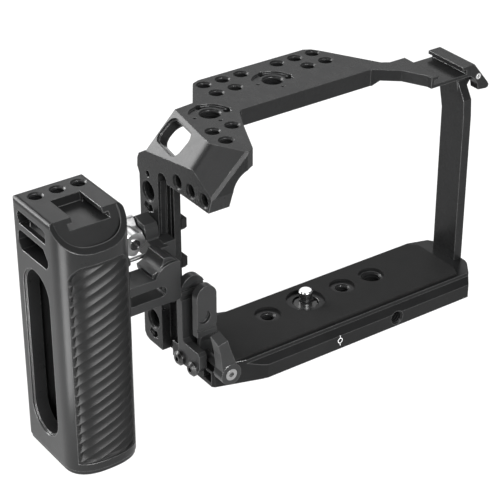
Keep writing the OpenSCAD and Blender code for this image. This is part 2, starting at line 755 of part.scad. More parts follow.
module lower_slot() {
    polygon([[grip_flat + 4.8, 68.2], [grip_front - 6.4, 68.2], [grip_front - 4.8, 66.6], [grip_front - 4.2, 62.4],
        [grip_front - 7, 58.9], [grip_flat + 3.2, 59.2], [grip_flat + 1.4, 61.4], [grip_flat + 1.4, 63.8]]);
}

module long_slot(inset = 0) {
    y0 = grip_flat + 3.2 + inset;
    y1 = grip_front - 7 - inset;
    mid = (y0 + y1) / 2;
    r = (y1 - y0) / 2;
    z0 = grip_bottom + 11 + inset;
    z1 = 53 - inset;
    translate([mid, z1 - r]) circle(r);
    translate([mid, z0 + r]) circle(r);
    translate([y0, z0 + r]) square([2 * r, z1 - z0 - 2 * r]);
}

grip_holes = [-9.1, 0.9, 10.9];
grip_hole_depth = 9.6;
grip_shoe_x = grip_mid + 0.6;
grip_shoe_floor = grip_top - 4.1;
wave_low = grip_bottom + 5.5;
wave_high = grip_top - 16.4;
wave_front = grip_rear + 4.1;
grip_slope = 12;
grip_edge = 2.2;
hole_y = grip_front - 7.1;
flange_y = 15.5;
flange_z = [24, 34];
bolt_r = 2;

module wave_zone(low, high) {
    intersection() {
        translate([0, 0, low]) linear_extrude(high - low) difference() {
            grip_outline(-1);
            grip_outline(wave_t);
        }
        along_x(grip_x0 - 2, grip_x1 + 2) polygon([
            [grip_rear - 2, low], [wave_front, low], [wave_front, high - 6.5], [wave_front - 1.1, high - 3.4],
            [wave_front - 2.8, high - 0.9],
            [grip_rear - 2, high]]);
    }
}

// What is cut away to round the top's front, left and right edges.
module grip_top_edges() {
    r = grip_edge;
    z = grip_top - r;
    for (side = [-1, 1]) {
        x = grip_mid + side * (grip_w / 2 - r);
        along_y(grip_rear - 5, grip_front + 5) difference() {
            translate([x + (side - 1) / 2 * (r + 1), z]) square(r + 1);
            translate([x, z]) circle(r);
        }
    }
    along_x(grip_x0 - 1, grip_x1 + 1) difference() {
        translate([grip_front - r, z]) square(r + 1);
        translate([grip_front - r, z]) circle(r);
    }
}

module grip_shell() {
    slope_y = grip_flat;
    color([0.25, 0.25, 0.27]) difference() {
        translate([0, 0, grip_bottom + cap_t]) linear_extrude(grip_h - cap_t) grip_outline();
        // the sloping rear of the top, with a rim round it
        beyond([grip_mid, grip_rear, grip_top - grip_slope], [0, -grip_slope, grip_round]);
        grip_top_edges();
        intersection() {
            translate([0, 0, grip_bottom]) linear_extrude(grip_h + 1) grip_outline(2.4);
            beyond([grip_mid, slope_y, grip_top], [0, -14, 10.5]);
            box([grip_x0, grip_rear, 40], [grip_x1, slope_y, grip_top + 1]);
        }
        // the shoe in the top
        box([grip_shoe_x - shoe_gap / 2, grip_rear - 1, grip_shoe_floor], [grip_shoe_x + shoe_gap / 2, 15.5, grip_top + 1]);
        box([grip_shoe_x - shoe_slot / 2, grip_rear - 1, grip_shoe_floor],
            [grip_shoe_x + shoe_slot / 2, 15.5 - 1.5, grip_shoe_floor + shoe_slot_h]);
        for (x = grip_holes) translate([grip_mid + x, hole_y, grip_top]) tapped(quarter_r, grip_hole_depth);
        // the slots in the left side
        left_pocket(4.5) upper_slot();
        left_pocket(grip_wall + 1) lower_slot();
        box([grip_x0 + 2.2, grip_flat + 4, 61], [grip_x0 + 4.5, grip_front - 7.3, 76]);
        left_pocket(grip_wall + 1) long_slot();
        left_pocket(1) long_slot(-0.8);
        // the hollow
        box([grip_x0 + grip_wall, grip_flat, grip_bottom], [grip_x1 - grip_wall, grip_front - grip_wall + 2, 54]);
        wave_zone(wave_low, wave_high);
        for (z = flange_z) translate([grip_x1 - grip_wall, flange_y, z]) rotate([0, -90, 0])
            translate([0, 0, -20]) cylinder(h = 21, r = bolt_r + screw_fit);
        for (p = cap_screw_at) translate([p[0], p[1], grip_bottom - 1]) cylinder(h = 12.2, r = screw_r + screw_fit);
    }
}

cap_screw_at = [[grip_mid, grip_rear + 4.4], [grip_mid, grip_front - 2.6]];

module wave_grip() {
    color([0.14, 0.14, 0.15]) intersection() {
        wave_zone(wave_low, wave_high);
        translate([0, 0, grip_bottom]) linear_extrude(grip_h) grip_outline();
    }
}

module grip_cap() {
    color([0.2, 0.2, 0.21]) difference() {
        translate([0, 0, grip_bottom]) linear_extrude(cap_t) grip_outline(0.4);
        for (p = cap_screw_at) translate([p[0], p[1], grip_bottom]) face_down() screw_hole(10, screw_r, 2.2, 1.2);
    }
}

module cap_screws() {
    color([0.3, 0.3, 0.31]) for (p = cap_screw_at)
        translate([p[0], p[1], grip_bottom]) face_down() screw(10, screw_r, 2.2, 1.2, 1);
}

module bracket_bolts() {
    head_h = 3;
    color([0.3, 0.3, 0.31]) for (z = flange_z)
        translate([grip_x1 - grip_wall - head_h, flange_y, z]) face_left()
            screw(head_h + grip_wall + flange_t - 0.3, bolt_r, 3.4, head_h, 1.7);
}

// ---- rail clamp ----

flange_t = 3.5;
clamp_y0 = -clamp_rear;
clamp_y1 = clamp_y0 + clamp_t;
end_x = left_x - 6.2;
end_z = clamp_low + 9.5;
clamp_right = left_x - 2.7;
rod_x = left_x - rod_off;
lever_y0 = 17.6;
lever_y1 = 28.4;
ear_t = 2;
ear_y = lever_y1 + gap;
ear_front = ear_y + ear_t;
ear_low = rod_z - 4.6;
jaw_y = ear_front + gap;
jaw_t = 3;
body_x0 = left_x - 7;
body_x1 = left_x - 0.7;
body_low = lock_z - 3.6;
nose_x = channel_x - 0.4;
nose_z = [lock_z - 3.6, rod_z - 0.3];
jaw_z = [rod_z - 5.4, rod_z - 0.6];
block_top = rod_z + 0.9;
block_r = 6.5;
lock_r = 0.95;
chamber_r = 2.1;
chamber_x = body_x1 - 1.3;

module arm_outline() {
    difference() {
        union() {
            translate([grip_x1, clamp_low]) square([end_x - grip_x1, clamp_h]);
            translate([end_x, end_z]) circle(clamp_end_r);
        }
        // the slot through the arm
        slot_r = 2.5;
        slot_z = clamp_low + clamp_h / 2 + 0.05;
        translate([end_x - 3.7 - slot_r, slot_z]) circle(slot_r);
        translate([grip_x1 + 2.2, slot_z - slot_r]) square([end_x - 3.7 - slot_r - grip_x1 - 2.2, 2 * slot_r]);
        translate([clamp_right, 0]) square([60, 90]);
    }
}

// The block on the arm's end, with a round upper right corner.
module block_outline() {
    x0 = left_x - 10.7;
    translate([x0, clamp_low + 6]) square([clamp_right - x0, block_top - block_r - clamp_low - 6]);
    translate([x0, clamp_low + 6]) square([clamp_right - block_r - x0, block_top - clamp_low - 6]);
    translate([clamp_right - block_r, block_top - block_r]) circle(block_r);
}

// The stepped body beside the lever, drawn in Y and Z.
module body_outline() {
    polygon([
        [clamp_y1, body_low], [clamp_y1, rod_z - 1], [lever_y0 - 0.4, rod_z - 0.4], [lever_y0, rod_z + 0.2],
        [lever_y0 + 0.6, rod_z + 4.6], [lever_y0 + 1.7, rod_z + 6.5], [lever_y0 + 9.2, rod_z + 7.9],
        [ear_front, rod_z + 5], [ear_front, body_low + 2], [ear_front - 2, body_low]]);
}

module clamp_bracket() {
    color([0.16, 0.16, 0.17]) difference() {
        union() {
            along_y(clamp_y0, clamp_y1) arm_outline();
            along_y(clamp_y0 + 1.6, clamp_y1 + 1.9) block_outline();
            along_x(body_x0, body_x1) body_outline();
            // the ear that the rod passes
            box([rod_x - 6.6, ear_y, ear_low], [body_x1, ear_front, rod_z + 5]);
            // the nose that reaches behind the rail
            box([body_x1 - 1, clamp_y1 + 2, nose_z[0]], [nose_x, strip_rear - gap, nose_z[1]]);
            translate([0, 0, nose_z[0]]) linear_extrude(nose_z[1] - nose_z[0]) polygon([
                [left_x + 0.3, strip_rear - gap - 1], [left_x + 0.3, strip_rear - gap],
                [left_x + 2, strip_rear - gap + v_depth - 0.1], [left_x + 3.7, strip_rear - gap],
                [left_x + 3.7, strip_rear - gap - 1]]);
            // the flange on the handle's side
            box([grip_x1, clamp_y0 + 8, 20], [grip_x1 + flange_t, flange_y + 6, 38]);
        }
        // the scoop in the block's left face
        translate([left_x - 17.2, clamp_y1 + 4, block_top + 1]) rotate([90, 0, 0]) cylinder(h = 30, r = 7.4);
        translate([rod_x, ear_y - 1, rod_z]) rotate([-90, 0, 0]) cylinder(h = ear_t + 2, r = rod_r + run_fit);
        // the lock pin's bore and the chamber of its spring
        translate([body_x0 - 1, lock_y, lock_z]) rotate([0, 90, 0]) cylinder(h = 14, r = lock_r + run_fit);
        translate([body_x0 - 1, lock_y, lock_z]) rotate([0, 90, 0])
            cylinder(h = chamber_x - body_x0 + 1, r = chamber_r + screw_fit);
        for (z = flange_z) translate([grip_x1 - 1, flange_y, z]) rotate([0, 90, 0]) cylinder(h = 8, r = bolt_r + screw_fit);
        translate([guide_x, ear_y - 1, guide_z]) rotate([-90, 0, 0]) cylinder(h = ear_t + 2, r = 1 + screw_fit);
    }
}

guide_x = rod_x - 4.7;
guide_z = rod_z - 2.4;

module front_jaw() {
    y0 = strip_front + gap;
    y1 = y0 + 3;
    color([0.12, 0.12, 0.13]) difference() {
        union() {
            // the plate in front of the ear
            box([rod_x - 6.6, jaw_y, ear_low], [rod_x + 4.4, jaw_y + jaw_t, rod_z + 3.4]);
            box([rod_x, jaw_y, jaw_z[0]], [body_x1, jaw_y + jaw_t, jaw_z[1]]);
            // the nose that reaches round the rail
            box([body_x1 - 3.4, jaw_y, jaw_z[0]], [body_x1, y1, jaw_z[1]]);
            box([body_x1 - eps, y0, jaw_z[0]], [left_x + 5.4, y1, jaw_z[1]]);
            translate([0, 0, jaw_z[0]]) linear_extrude(jaw_z[1] - jaw_z[0]) polygon([
                [left_x + 0.3, y0 + 1], [left_x + 0.3, y0], [left_x + 2, y0 - v_depth + 0.1],
                [left_x + 3.7, y0], [left_x + 3.7, y0 + 1]]);
        }
        translate([rod_x, jaw_y - 1, rod_z]) rotate([-90, 0, 0]) cylinder(h = jaw_t + 2, r = rod_r + run_fit);
        translate([guide_x, jaw_y - 1, guide_z]) rotate([-90, 0, 0]) cylinder(h = jaw_t + 2, r = 1 + run_fit);
    }
}

module jaw_guide_pin() {
    color([0.6, 0.6, 0.62]) translate([guide_x, ear_y, guide_z]) rotate([-90, 0, 0])
        cylinder(h = ear_t + gap + jaw_t - 0.5, r = 1);
}

module clamp_rod() {
    color([0.6, 0.6, 0.62]) translate([rod_x, lever_y0 + 3, rod_z]) rotate([-90, 0, 0])
        cylinder(h = jaw_y + jaw_t - lever_y0 - 3, r = rod_r);
}

lever_reach = 11.6;
lever_right = 5.4;
spring_room = 3.4;

module chrome_lever() {
    z = rod_z;
    y = lever_y0;
    color([0.9, 0.9, 0.92]) difference() {
        union() {
            along_x(rod_x - lever_reach, rod_x + lever_right) polygon([
                [y, z - 3.2], [y, z + 0.5], [y + 0.5, z + 0.9], [y + 2.6, z + 3.5], [y + 3, z + 3.8],
                [y + 6.8, z + 4.2], [y + 7.2, z + 4.5], [y + 9.2, z + 7.5], [y + 9.8, z + 7.9],
                [lever_y1, z + 8.1], [lever_y1, z + 2], [y + 6, z - 3.2]]);
            translate([rod_x, lever_y1, z]) rotate([90, 0, 0]) cylinder(h = lever_y1 - y, r = lever_right);
        }
        // the lower right corner passes the clamp's body
        beyond([rod_x + lever_right, y, z - 0.5], [1, 0, -1]);
        translate([rod_x, 0, z]) rotate([90, 0, 0]) {
            translate([0, 0, -60]) cylinder(h = 60 - y - 3, r = rod_r + screw_fit);
            translate([0, 0, -y - 3]) cylinder(h = 10, r = 2.5 + screw_fit);
            translate([0, 0, -lever_y1 - 1]) cylinder(h = 5, r = spring_room);
        }
    }
}

module lever_screw() {
    color([0.88, 0.88, 0.9]) translate([rod_x, lever_y0, rod_z]) rotate([90, 0, 0]) difference() {
        translate([0, 0, -3]) cylinder(h = 3.6, r = 2.5);
        rotate([0, 0, -48]) box([-3, -0.4, 0], [3, 0.4, 1]);
    }
}

module lever_spring() {
    wire = 0.4;
    turns = 4;
    color([0.7, 0.7, 0.72]) translate([rod_x, lever_y1 - 3.9, rod_z]) rotate([-90, 0, 0])
        for (i = [0:turns]) translate([0, 0, wire + i * 0.72]) rotate_extrude($fn = 32)
            translate([rod_r + 0.6 + screw_fit, 0]) circle(wire, $fn = 16);
}

lock_travel = 1.3;
knob_x0 = grip_x1 + lock_travel + 0.8;
knob_x1 = left_x - 18.2;
bush_t = 1.4;
bush_x = body_x0 + 0.1;
collar_t = 1;

module lock_pin() {
    tip = channel_x + groove_d - 0.4;
    color([0.6, 0.6, 0.62]) translate([0, lock_y, lock_z]) rotate([0, 90, 0]) {
        translate([0, 0, knob_x1 - 3]) cylinder(h = tip - knob_x1 + 3, r = lock_r);
        translate([0, 0, chamber_x - 0.2 - collar_t]) cylinder(h = collar_t, r = 1.7);
    }
}

module lock_knob() {
    color([0.3, 0.3, 0.31]) translate([knob_x0, lock_y, lock_z]) rotate([0, 90, 0]) difference() {
        cylinder(h = knob_x1 - knob_x0, r = 2.3);
        translate([0, 0, knob_x1 - knob_x0 - 3]) cylinder(h = 4, r = lock_r + screw_fit);
    }
}

module lock_bush() {
    color([0.5, 0.5, 0.52]) translate([bush_x, lock_y, lock_z]) rotate([0, 90, 0]) difference() {
        cylinder(h = bush_t, r = chamber_r);
        translate([0, 0, -1]) cylinder(h = bush_t + 2, r = lock_r + run_fit);
    }
}

module lock_spring() {
    wire = 0.2;
    color([0.7, 0.7, 0.72]) translate([bush_x + bush_t + 0.02, lock_y, lock_z]) rotate([0, 90, 0])
        for (i = [0, 1]) translate([0, 0, wire + i * 0.42]) rotate_extrude($fn = 32)
            translate([1.4, 0]) circle(wire, $fn = 16);
}

cage_frame();
side_pads();
base_plate();
base_pad();
right_leg();
fork_screw();
frame_screws();
camera_screw();
camera_screw_clip();
cable_bracket();
cable_screws();
cable_jaw();
cable_rod();
thumb_lever();
thumb_lever_screw();
cable_lock_pin();
grip_shell();
wave_grip();
grip_cap();
cap_screws();
clamp_bracket();
bracket_bolts();
front_jaw();
jaw_guide_pin();
clamp_rod();
chrome_lever();
lever_screw();
lever_spring();
lock_pin();
lock_knob();
lock_bush();
lock_spring();
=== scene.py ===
import math

import bmesh
import bpy
import numpy as np
from mathutils import Euler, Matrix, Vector


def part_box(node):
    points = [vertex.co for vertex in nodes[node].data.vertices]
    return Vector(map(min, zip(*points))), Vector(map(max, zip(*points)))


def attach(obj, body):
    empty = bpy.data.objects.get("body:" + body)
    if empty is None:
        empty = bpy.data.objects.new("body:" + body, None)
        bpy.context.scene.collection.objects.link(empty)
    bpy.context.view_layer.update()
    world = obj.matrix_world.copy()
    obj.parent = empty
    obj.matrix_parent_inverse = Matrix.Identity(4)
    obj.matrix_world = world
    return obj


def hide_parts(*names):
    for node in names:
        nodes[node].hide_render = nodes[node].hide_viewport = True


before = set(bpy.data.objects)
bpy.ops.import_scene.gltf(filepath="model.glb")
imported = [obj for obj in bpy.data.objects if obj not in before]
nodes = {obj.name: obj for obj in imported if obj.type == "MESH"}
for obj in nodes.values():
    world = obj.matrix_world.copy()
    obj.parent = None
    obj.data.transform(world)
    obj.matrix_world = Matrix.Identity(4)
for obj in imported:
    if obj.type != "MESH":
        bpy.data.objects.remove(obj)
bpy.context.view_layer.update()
print("frame loaded")

mm = 0.001
scene = bpy.context.scene
scene.view_settings.view_transform = "Standard"


# node trees as plain expressions

class Value:
    # one socket of a tree; sums and products of it add Math nodes

    def __init__(self, tree, socket):
        self.tree = tree
        self.socket = socket

    def calc(self, operation, first, second=None, clamp=False):
        values = {0: first} if second is None else {0: first, 1: second}
        return self.tree.node("ShaderNodeMath", {"operation": operation, "use_clamp": clamp}, values)

    def __add__(self, other):
        return self.calc("ADD", self, other)

    def __radd__(self, other):
        return self.calc("ADD", other, self)

    def __sub__(self, other):
        return self.calc("SUBTRACT", self, other)

    def __rsub__(self, other):
        return self.calc("SUBTRACT", other, self)

    def __mul__(self, other):
        return self.calc("MULTIPLY", self, other)

    def __rmul__(self, other):
        return self.calc("MULTIPLY", other, self)

    def __truediv__(self, other):
        return self.calc("DIVIDE", self, other)

    def __rtruediv__(self, other):
        return self.calc("DIVIDE", other, self)

    def __pow__(self, other):
        return self.calc("POWER", self, other)

    def __rpow__(self, other):
        return self.calc("POWER", other, self)

    def least(self, other):
        return self.calc("MINIMUM", self, other)

    def most(self, other):
        return self.calc("MAXIMUM", self, other)

    def size(self):
        return self.calc("ABSOLUTE", self)

    def clamped(self):
        return self.calc("ADD", self, 0.0, clamp=True)

    def spread(self, low, high, toLow=0.0, toHigh=1.0, curve="LINEAR"):
        # maps low..high to toLow..toHigh, and stops at both ends
        return self.tree.node("ShaderNodeMapRange", {"clamp": True, "interpolation_type": curve},
                              {0: self, 1: low, 2: high, 3: toLow, 4: toHigh})


class Tree:
    def __init__(self, nodeTree):
        self.nodeTree = nodeTree

    def node(self, kind, settings=None, values=None, out=0):
        # settings come first, then what goes into each socket
        made = self.nodeTree.nodes.new(kind)
        for key, setting in (settings or {}).items():
            setattr(made, key, setting)
        for key, value in (values or {}).items():
            if isinstance(value, Value):
                self.nodeTree.links.new(value.socket, made.inputs[key])
            else:
                made.inputs[key].default_value = value
        return Value(self, made.outputs[out]) if len(made.outputs) else made

    def dot(self, first, second):
        return self.node("ShaderNodeVectorMath", {"operation": "DOT_PRODUCT"}, {0: first, 1: second},
                         out="Value")

    def mixed(self, share, first, second):
        # one colour into another
        return self.node("ShaderNodeMix", {"data_type": "RGBA"}, {0: share, 6: first, 7: second}, out=2)

    def turned(self, share, first, second):
        # one direction into another
        return self.node("ShaderNodeMix", {"data_type": "VECTOR"}, {0: share, 4: first, 5: second}, out=1)

    def stretched(self, stretch):
        # the object's own coordinates, longer along an axis where stretch is above 1
        place = self.node("ShaderNodeTexCoord", out="Object")
        return self.node("ShaderNodeMapping", {"vector_type": "POINT"}, {
            "Vector": place, "Scale": [1 / s for s in stretch]})

    def noise(self, size, detail=3.0, stretch=(1, 1, 1), rough=0.5):
        # grain of about that size in mm
        return self.node("ShaderNodeTexNoise", {}, {
            "Vector": self.stretched(stretch), "Scale": 1 / (size * mm), "Detail": detail,
            "Roughness": rough})

    def cells(self, size):
        return self.node("ShaderNodeTexVoronoi", {}, {
            "Vector": self.stretched((1, 1, 1)), "Scale": 1 / (size * mm)})

    def bumped(self, height, strength, depth, under=None):
        # a normal with relief of that depth in mm, on another normal where one is given
        values = {"Strength": strength, "Distance": depth * mm, "Height": height}
        if under is not None:
            values["Normal"] = under
        return self.node("ShaderNodeBump", {}, values)


def grey(level, warmth=0.0):
    return (level * (1 + warmth), level, level * (1 - warmth), 1)


# finishes: sizes are in mm, and shares go from 0 to 1

usual = (0.3, 0.7)  # where most of a noise lies
edges = {"samples": 6, "range": (0.01, 0.13)}


def newTree(name):
    material = bpy.data.materials.new(name)
    material.use_nodes = True
    material.node_tree.nodes.clear()
    return material, Tree(material.node_tree)


def close(tree, tint, rough, normal, fixed):
    # the last two nodes of every finish
    values = {"Base Color": tint, "Roughness": rough, "Normal": normal}
    values.update(fixed)
    shader = tree.node("ShaderNodeBsdfPrincipled", {}, values)
    tree.node("ShaderNodeOutputMaterial", {}, {"Surface": shader})


def edgesOf(tree, radius, samples=edges["samples"]):
    # a rounded normal, and a mask that is 1 on the edges
    rounded = tree.node("ShaderNodeBevel", {"samples": samples}, {"Radius": radius * mm})
    flat = tree.node("ShaderNodeNewGeometry", out="Normal")
    return rounded, (1 - tree.dot(rounded, flat)).spread(*edges["range"])


def softKnee(tree, rounded, knee):
    # the crease between two flat faces as a soft turn from one face's normal to the other's
    first, second = (Vector(knee[side]).normalized() for side in ("first", "second"))
    along = first.cross(second).normalized()
    across = along.cross(first + second).normalized()
    width = knee["width"] * mm
    place = tree.node("ShaderNodeTexCoord", out="Object")
    flat = tree.node("ShaderNodeNewGeometry", out="True Normal")
    reach = tree.dot(place, across) - across.dot(Vector(knee["point"])) * mm
    bent = tree.turned(reach.spread(-width, width, curve="SMOOTHSTEP"), first, second)
    onFace = tree.dot(flat, first).most(tree.dot(flat, second)).spread(*knee["sameFace"])
    near = reach.size().spread(knee["fade"] * width, width, 1.0, 0.0)
    return tree.turned(onFace * near, rounded, bent)


blasted = {"cloud": 22, "cloudTone": 0.12, "rub": 5, "rubLeast": 0.6, "rubRough": 0.12, "grainRough": 0.08,
           "scuff": 1.1, "scuffStretch": (1, 1, 4), "scuffRange": (0.62, 0.74), "scuffTone": 2.2,
           "scuffShare": 0.12, "scuffRough": 0.06, "bareRough": 0.08, "strength": 0.5}


def satin(name, look):
    # anodised and blasted aluminium: fine grain, handled patches, faint scuffs, edges lighter from wear and
    # a painted edge highlight
    material, tree = newTree(name)
    rounded, edge = edgesOf(tree, look["edge"])
    if "knee" in look:
        rounded = softKnee(tree, rounded, look["knee"])
    grain = tree.noise(look["grain"])
    cloud = tree.noise(blasted["cloud"])
    rub = tree.noise(blasted["rub"], detail=4.0, rough=0.65)
    scuff = tree.noise(blasted["scuff"], stretch=blasted["scuffStretch"]).spread(*blasted["scuffRange"])
    # edge mask: partly bare metal worn through, partly a painted edge highlight
    bareAndSheen = (edge * rub.spread(*usual, blasted["rubLeast"]) * look["wear"]).clamped()
    darker, lighter = (grey(look["tone"] * (1 + side * blasted["cloudTone"]), look["warmth"])
                       for side in (-1, 1))
    tint = tree.mixed(cloud.spread(*usual), darker, lighter)
    tint = tree.mixed(scuff * blasted["scuffShare"], tint, grey(look["tone"] * blasted["scuffTone"]))
    tint = tree.mixed(bareAndSheen, tint, grey(look["bareAndSheen"]))
    rough = (look["rough"] + (rub - 0.5) * blasted["rubRough"] + (grain - 0.5) * blasted["grainRough"]
             + scuff * blasted["scuffRough"] - bareAndSheen * blasted["bareRough"])
    normal = tree.bumped(grain, blasted["strength"], look["bump"], rounded)
    close(tree, tint, rough, normal, {"Metallic": bareAndSheen, "Specular IOR Level": look["level"]})
    return material


# the knee lies between the shoulder's slanted face and its rear facet
shoulder = {"point": (-56.18, -7.58, 98.5), "first": (-1, 0.172, 1), "second": (-0.636, -0.361, 0.682),
            "width": 4.2, "fade": 0.9, "sameFace": (0.995, 0.999)}
cageLook = {"tone": 0.0125, "warmth": -0.012, "bareAndSheen": 0.2, "wear": 0.85, "rough": 0.28, "level": 0.1,
            "grain": 0.16, "bump": 0.012, "edge": 0.5}
cageFinish = satin("cageAnodised", {**cageLook, "knee": shoulder})
legFinish = satin("legAnodised", {**cageLook, "tone": 0.012})
baseFinish = satin("baseAnodised", {**cageLook, "tone": 0.01, "rough": 0.31})
clampFinish = satin("clampAnodised", {**cageLook, "tone": 0.02, "rough": 0.31, "edge": 0.35,
                                      "level": 0.17})
handleFinish = satin("handleAnodised", {**cageLook, "tone": 0.01, "rough": 0.3, "grain": 0.2,
                                        "edge": 0.6, "level": 0.2, "bump": 0.005, "wear": 0.75})
jawFinish = satin("jawAnodised", {**cageLook, "tone": 0.02, "rough": 0.3, "edge": 0.35, "level": 0.2})
threadFinish = satin("threadAnodised", {**cageLook, "tone": 0.012, "bareAndSheen": 0.02, "wear": 0.0, "edge": 0.1,
                                        "level": 0.02, "rough": 0.5})


moulded = {"dust": 9, "dustRange": (0.35, 0.7), "dustTone": 1.35, "dustRough": 0.1, "fine": 0.35,
           "fineShare": 0.5, "fineRough": 0.1, "rubbedTone": 2.6, "strength": 0.6}


def rubber(name, look):
    # moulded rubber: a fine pebbled skin and pale rubbed edges
    material, tree = newTree(name)
    rounded, edge = edgesOf(tree, look["edge"])
    pebble = tree.cells(look["pebble"])
    dust = tree.noise(moulded["dust"], detail=4.0)
    fine = tree.noise(moulded["fine"], detail=2.0)
    tint = tree.mixed(dust.spread(*moulded["dustRange"]), grey(look["tone"]),
                      grey(look["tone"] * moulded["dustTone"]))
    tint = tree.mixed(edge * look["wear"], tint, grey(look["tone"] * moulded["rubbedTone"]))
    rough = look["rough"] + (dust - 0.5) * moulded["dustRough"] + (fine - 0.5) * moulded["fineRough"]
    normal = tree.bumped(pebble + fine * moulded["fineShare"], moulded["strength"], look["bump"], rounded)
    close(tree, tint, rough, normal, {"Specular IOR Level": look["level"]})
    return material


gripFinish = rubber("gripRubber", {"tone": 0.006, "rough": 0.36, "pebble": 0.4, "bump": 0.012,
                                   "edge": 0.25, "wear": 0.5, "level": 0.22})
padFinish = rubber("padRubber", {"tone": 0.007, "rough": 0.72, "pebble": 0.7, "bump": 0.04, "edge": 0.2,
                                 "wear": 0.25, "level": 0.2})


ground = {"streak": 0.5, "patch": 4, "patchTone": 0.9, "patchRough": 0.06, "strength": 0.4, "samples": 4}


def steel(name, look):
    # turned and ground steel: fine streaks, drawn out along an axis where draw is above 1, edges lighter
    # from a painted edge highlight with some wear
    material, tree = newTree(name)
    rounded, edge = edgesOf(tree, look["edge"], ground["samples"])
    streak = tree.noise(ground["streak"], stretch=look["draw"])
    patch = tree.noise(ground["patch"])
    tint = tree.mixed(patch.spread(*usual), grey(look["tone"] * ground["patchTone"]), grey(look["tone"]))
    # edges lightened towards the bare tone: a painted edge highlight, with some wear
    tint = tree.mixed(edge * look["wear"], tint, grey(look["bareAndSheen"]))
    rough = look["rough"] + (streak - 0.5) * look["roughSpread"] + (patch - 0.5) * ground["patchRough"]
    normal = tree.bumped(streak, ground["strength"], look["bump"], rounded)
    close(tree, tint, rough, normal, {"Metallic": look["metal"]})
    return material


screwLook = {"tone": 0.34, "bareAndSheen": 0.5, "wear": 0.6, "rough": 0.3, "roughSpread": 0.14, "bump": 0.008,
             "edge": 0.15, "metal": 1.0, "draw": (1, 1, 1)}
screwFinish = steel("screwSteel", screwLook)
footScrewFinish = steel("footScrewSteel", {**screwLook, "tone": 0.08, "bareAndSheen": 0.34, "wear": 0.7,
                                           "rough": 0.36})
brightFinish = steel("brightSteel", {**screwLook, "tone": 0.62, "bareAndSheen": 0.8, "rough": 0.24,
                                     "roughSpread": 0.16})
blackFinish = steel("blackSteel", {**screwLook, "tone": 0.035, "bareAndSheen": 0.2, "rough": 0.36, "bump": 0.01,
                                   "metal": 0.6})
chromeFinish = steel("leverChrome", {**screwLook, "tone": 0.8, "bareAndSheen": 0.9, "wear": 0.5, "rough": 0.34,
                                     "roughSpread": 0.16, "bump": 0.006, "edge": 0.3, "draw": (18, 1, 1)})


def paint(name, look):
    # thin paint with fine specks
    material, tree = newTree(name)
    speck = tree.noise(look["speck"], detail=2.0)
    tint = tree.mixed(speck.spread(*look["range"]), grey(look["tone"]),
                      grey(look["tone"] * look["speckTone"]))
    rough = look["rough"] + (speck - 0.5) * look["speckRough"]
    close(tree, tint, rough, tree.bumped(speck, look["strength"], look["bump"]), {})
    return material


markFinish = paint("markPaint", {"tone": 0.72, "speck": 0.3, "range": (0.55, 0.75), "speckTone": 0.8,
                                 "rough": 0.55, "speckRough": 0.1, "bump": 0.01, "strength": 0.3})

wears = {
    "cage_frame": cageFinish, "side_pads": padFinish, "base_plate": baseFinish, "base_pad": padFinish,
    "right_leg": legFinish, "fork_screw": brightFinish, "frame_screws": blackFinish,
    "camera_screw": brightFinish, "camera_screw_clip": blackFinish, "cable_bracket": jawFinish,
    "cable_screws": footScrewFinish, "cable_jaw": jawFinish, "cable_rod": blackFinish,
    "thumb_lever": jawFinish, "thumb_lever_screw": screwFinish, "cable_lock_pin": brightFinish,
    "grip_shell": handleFinish, "wave_grip": gripFinish, "grip_cap": handleFinish,
    "cap_screws": blackFinish, "clamp_bracket": clampFinish, "bracket_bolts": blackFinish,
    "front_jaw": clampFinish, "jaw_guide_pin": brightFinish, "clamp_rod": brightFinish,
    "chrome_lever": chromeFinish, "lever_screw": brightFinish, "lever_spring": brightFinish,
    "lock_pin": brightFinish, "lock_knob": blackFinish, "lock_bush": brightFinish,
    "lock_spring": brightFinish}
for name, node in nodes.items():
    if not node.material_slots:
        node.data.materials.append(wears[name])
    for slot in node.material_slots:
        slot.material = wears[name]
print("finishes made")


# geometry nodes

def newGroup(name, inputs):
    # a geometry tree with named inputs; returns its helper and those inputs as values
    group = bpy.data.node_groups.new(name, "GeometryNodeTree")
    face = group.interface
    face.new_socket("Geometry", in_out="INPUT", socket_type="NodeSocketGeometry")
    for label, kind in inputs.items():
        face.new_socket(label, in_out="INPUT", socket_type="NodeSocket" + kind)
    face.new_socket("Geometry", in_out="OUTPUT", socket_type="NodeSocketGeometry")
    tree = Tree(group)
    source = group.nodes.new("NodeGroupInput")
    given = {socket.name: Value(tree, socket) for socket in source.outputs if socket.name}
    return group, tree, given


def attribute(tree, kind, name):
    return tree.node("GeometryNodeInputNamedAttribute", {"data_type": kind}, {"Name": name})


def endGroup(tree, shape, finish):
    real = tree.node("GeometryNodeRealizeInstances", {}, {0: shape})
    dressed = tree.node("GeometryNodeSetMaterial", {}, {0: real, 2: finish})
    tree.node("NodeGroupOutput", {}, {0: dressed})


def endOnPoints(tree, given, shape):
    # one copy of the shape on each point, with the point's own turn
    spots = tree.node("GeometryNodeInstanceOnPoints", {}, {
        0: given["Geometry"], "Instance": shape, "Rotation": attribute(tree, "FLOAT_VECTOR", "turn")})
    endGroup(tree, spots, given["Material"])


def coiled(tree, given, steps, corners, height, thick, upright=False):
    # a round wire along a spiral, with that many steps a turn and corners round the wire
    path = tree.node("GeometryNodeCurveSpiral", {}, {
        "Resolution": steps, "Rotations": given["Turns"], "Start Radius": given["Radius"],
        "End Radius": given["Radius"], "Height": height})
    if upright:
        path = tree.node("GeometryNodeSetCurveNormal", {"mode": "Z_UP"}, {0: path})
    profile = tree.node("GeometryNodeCurvePrimitiveCircle", {"mode": "RADIUS"}, {
        "Resolution": corners, "Radius": thick})
    return tree.node("GeometryNodeCurveToMesh", {}, {0: path, 1: profile, "Fill Caps": True})


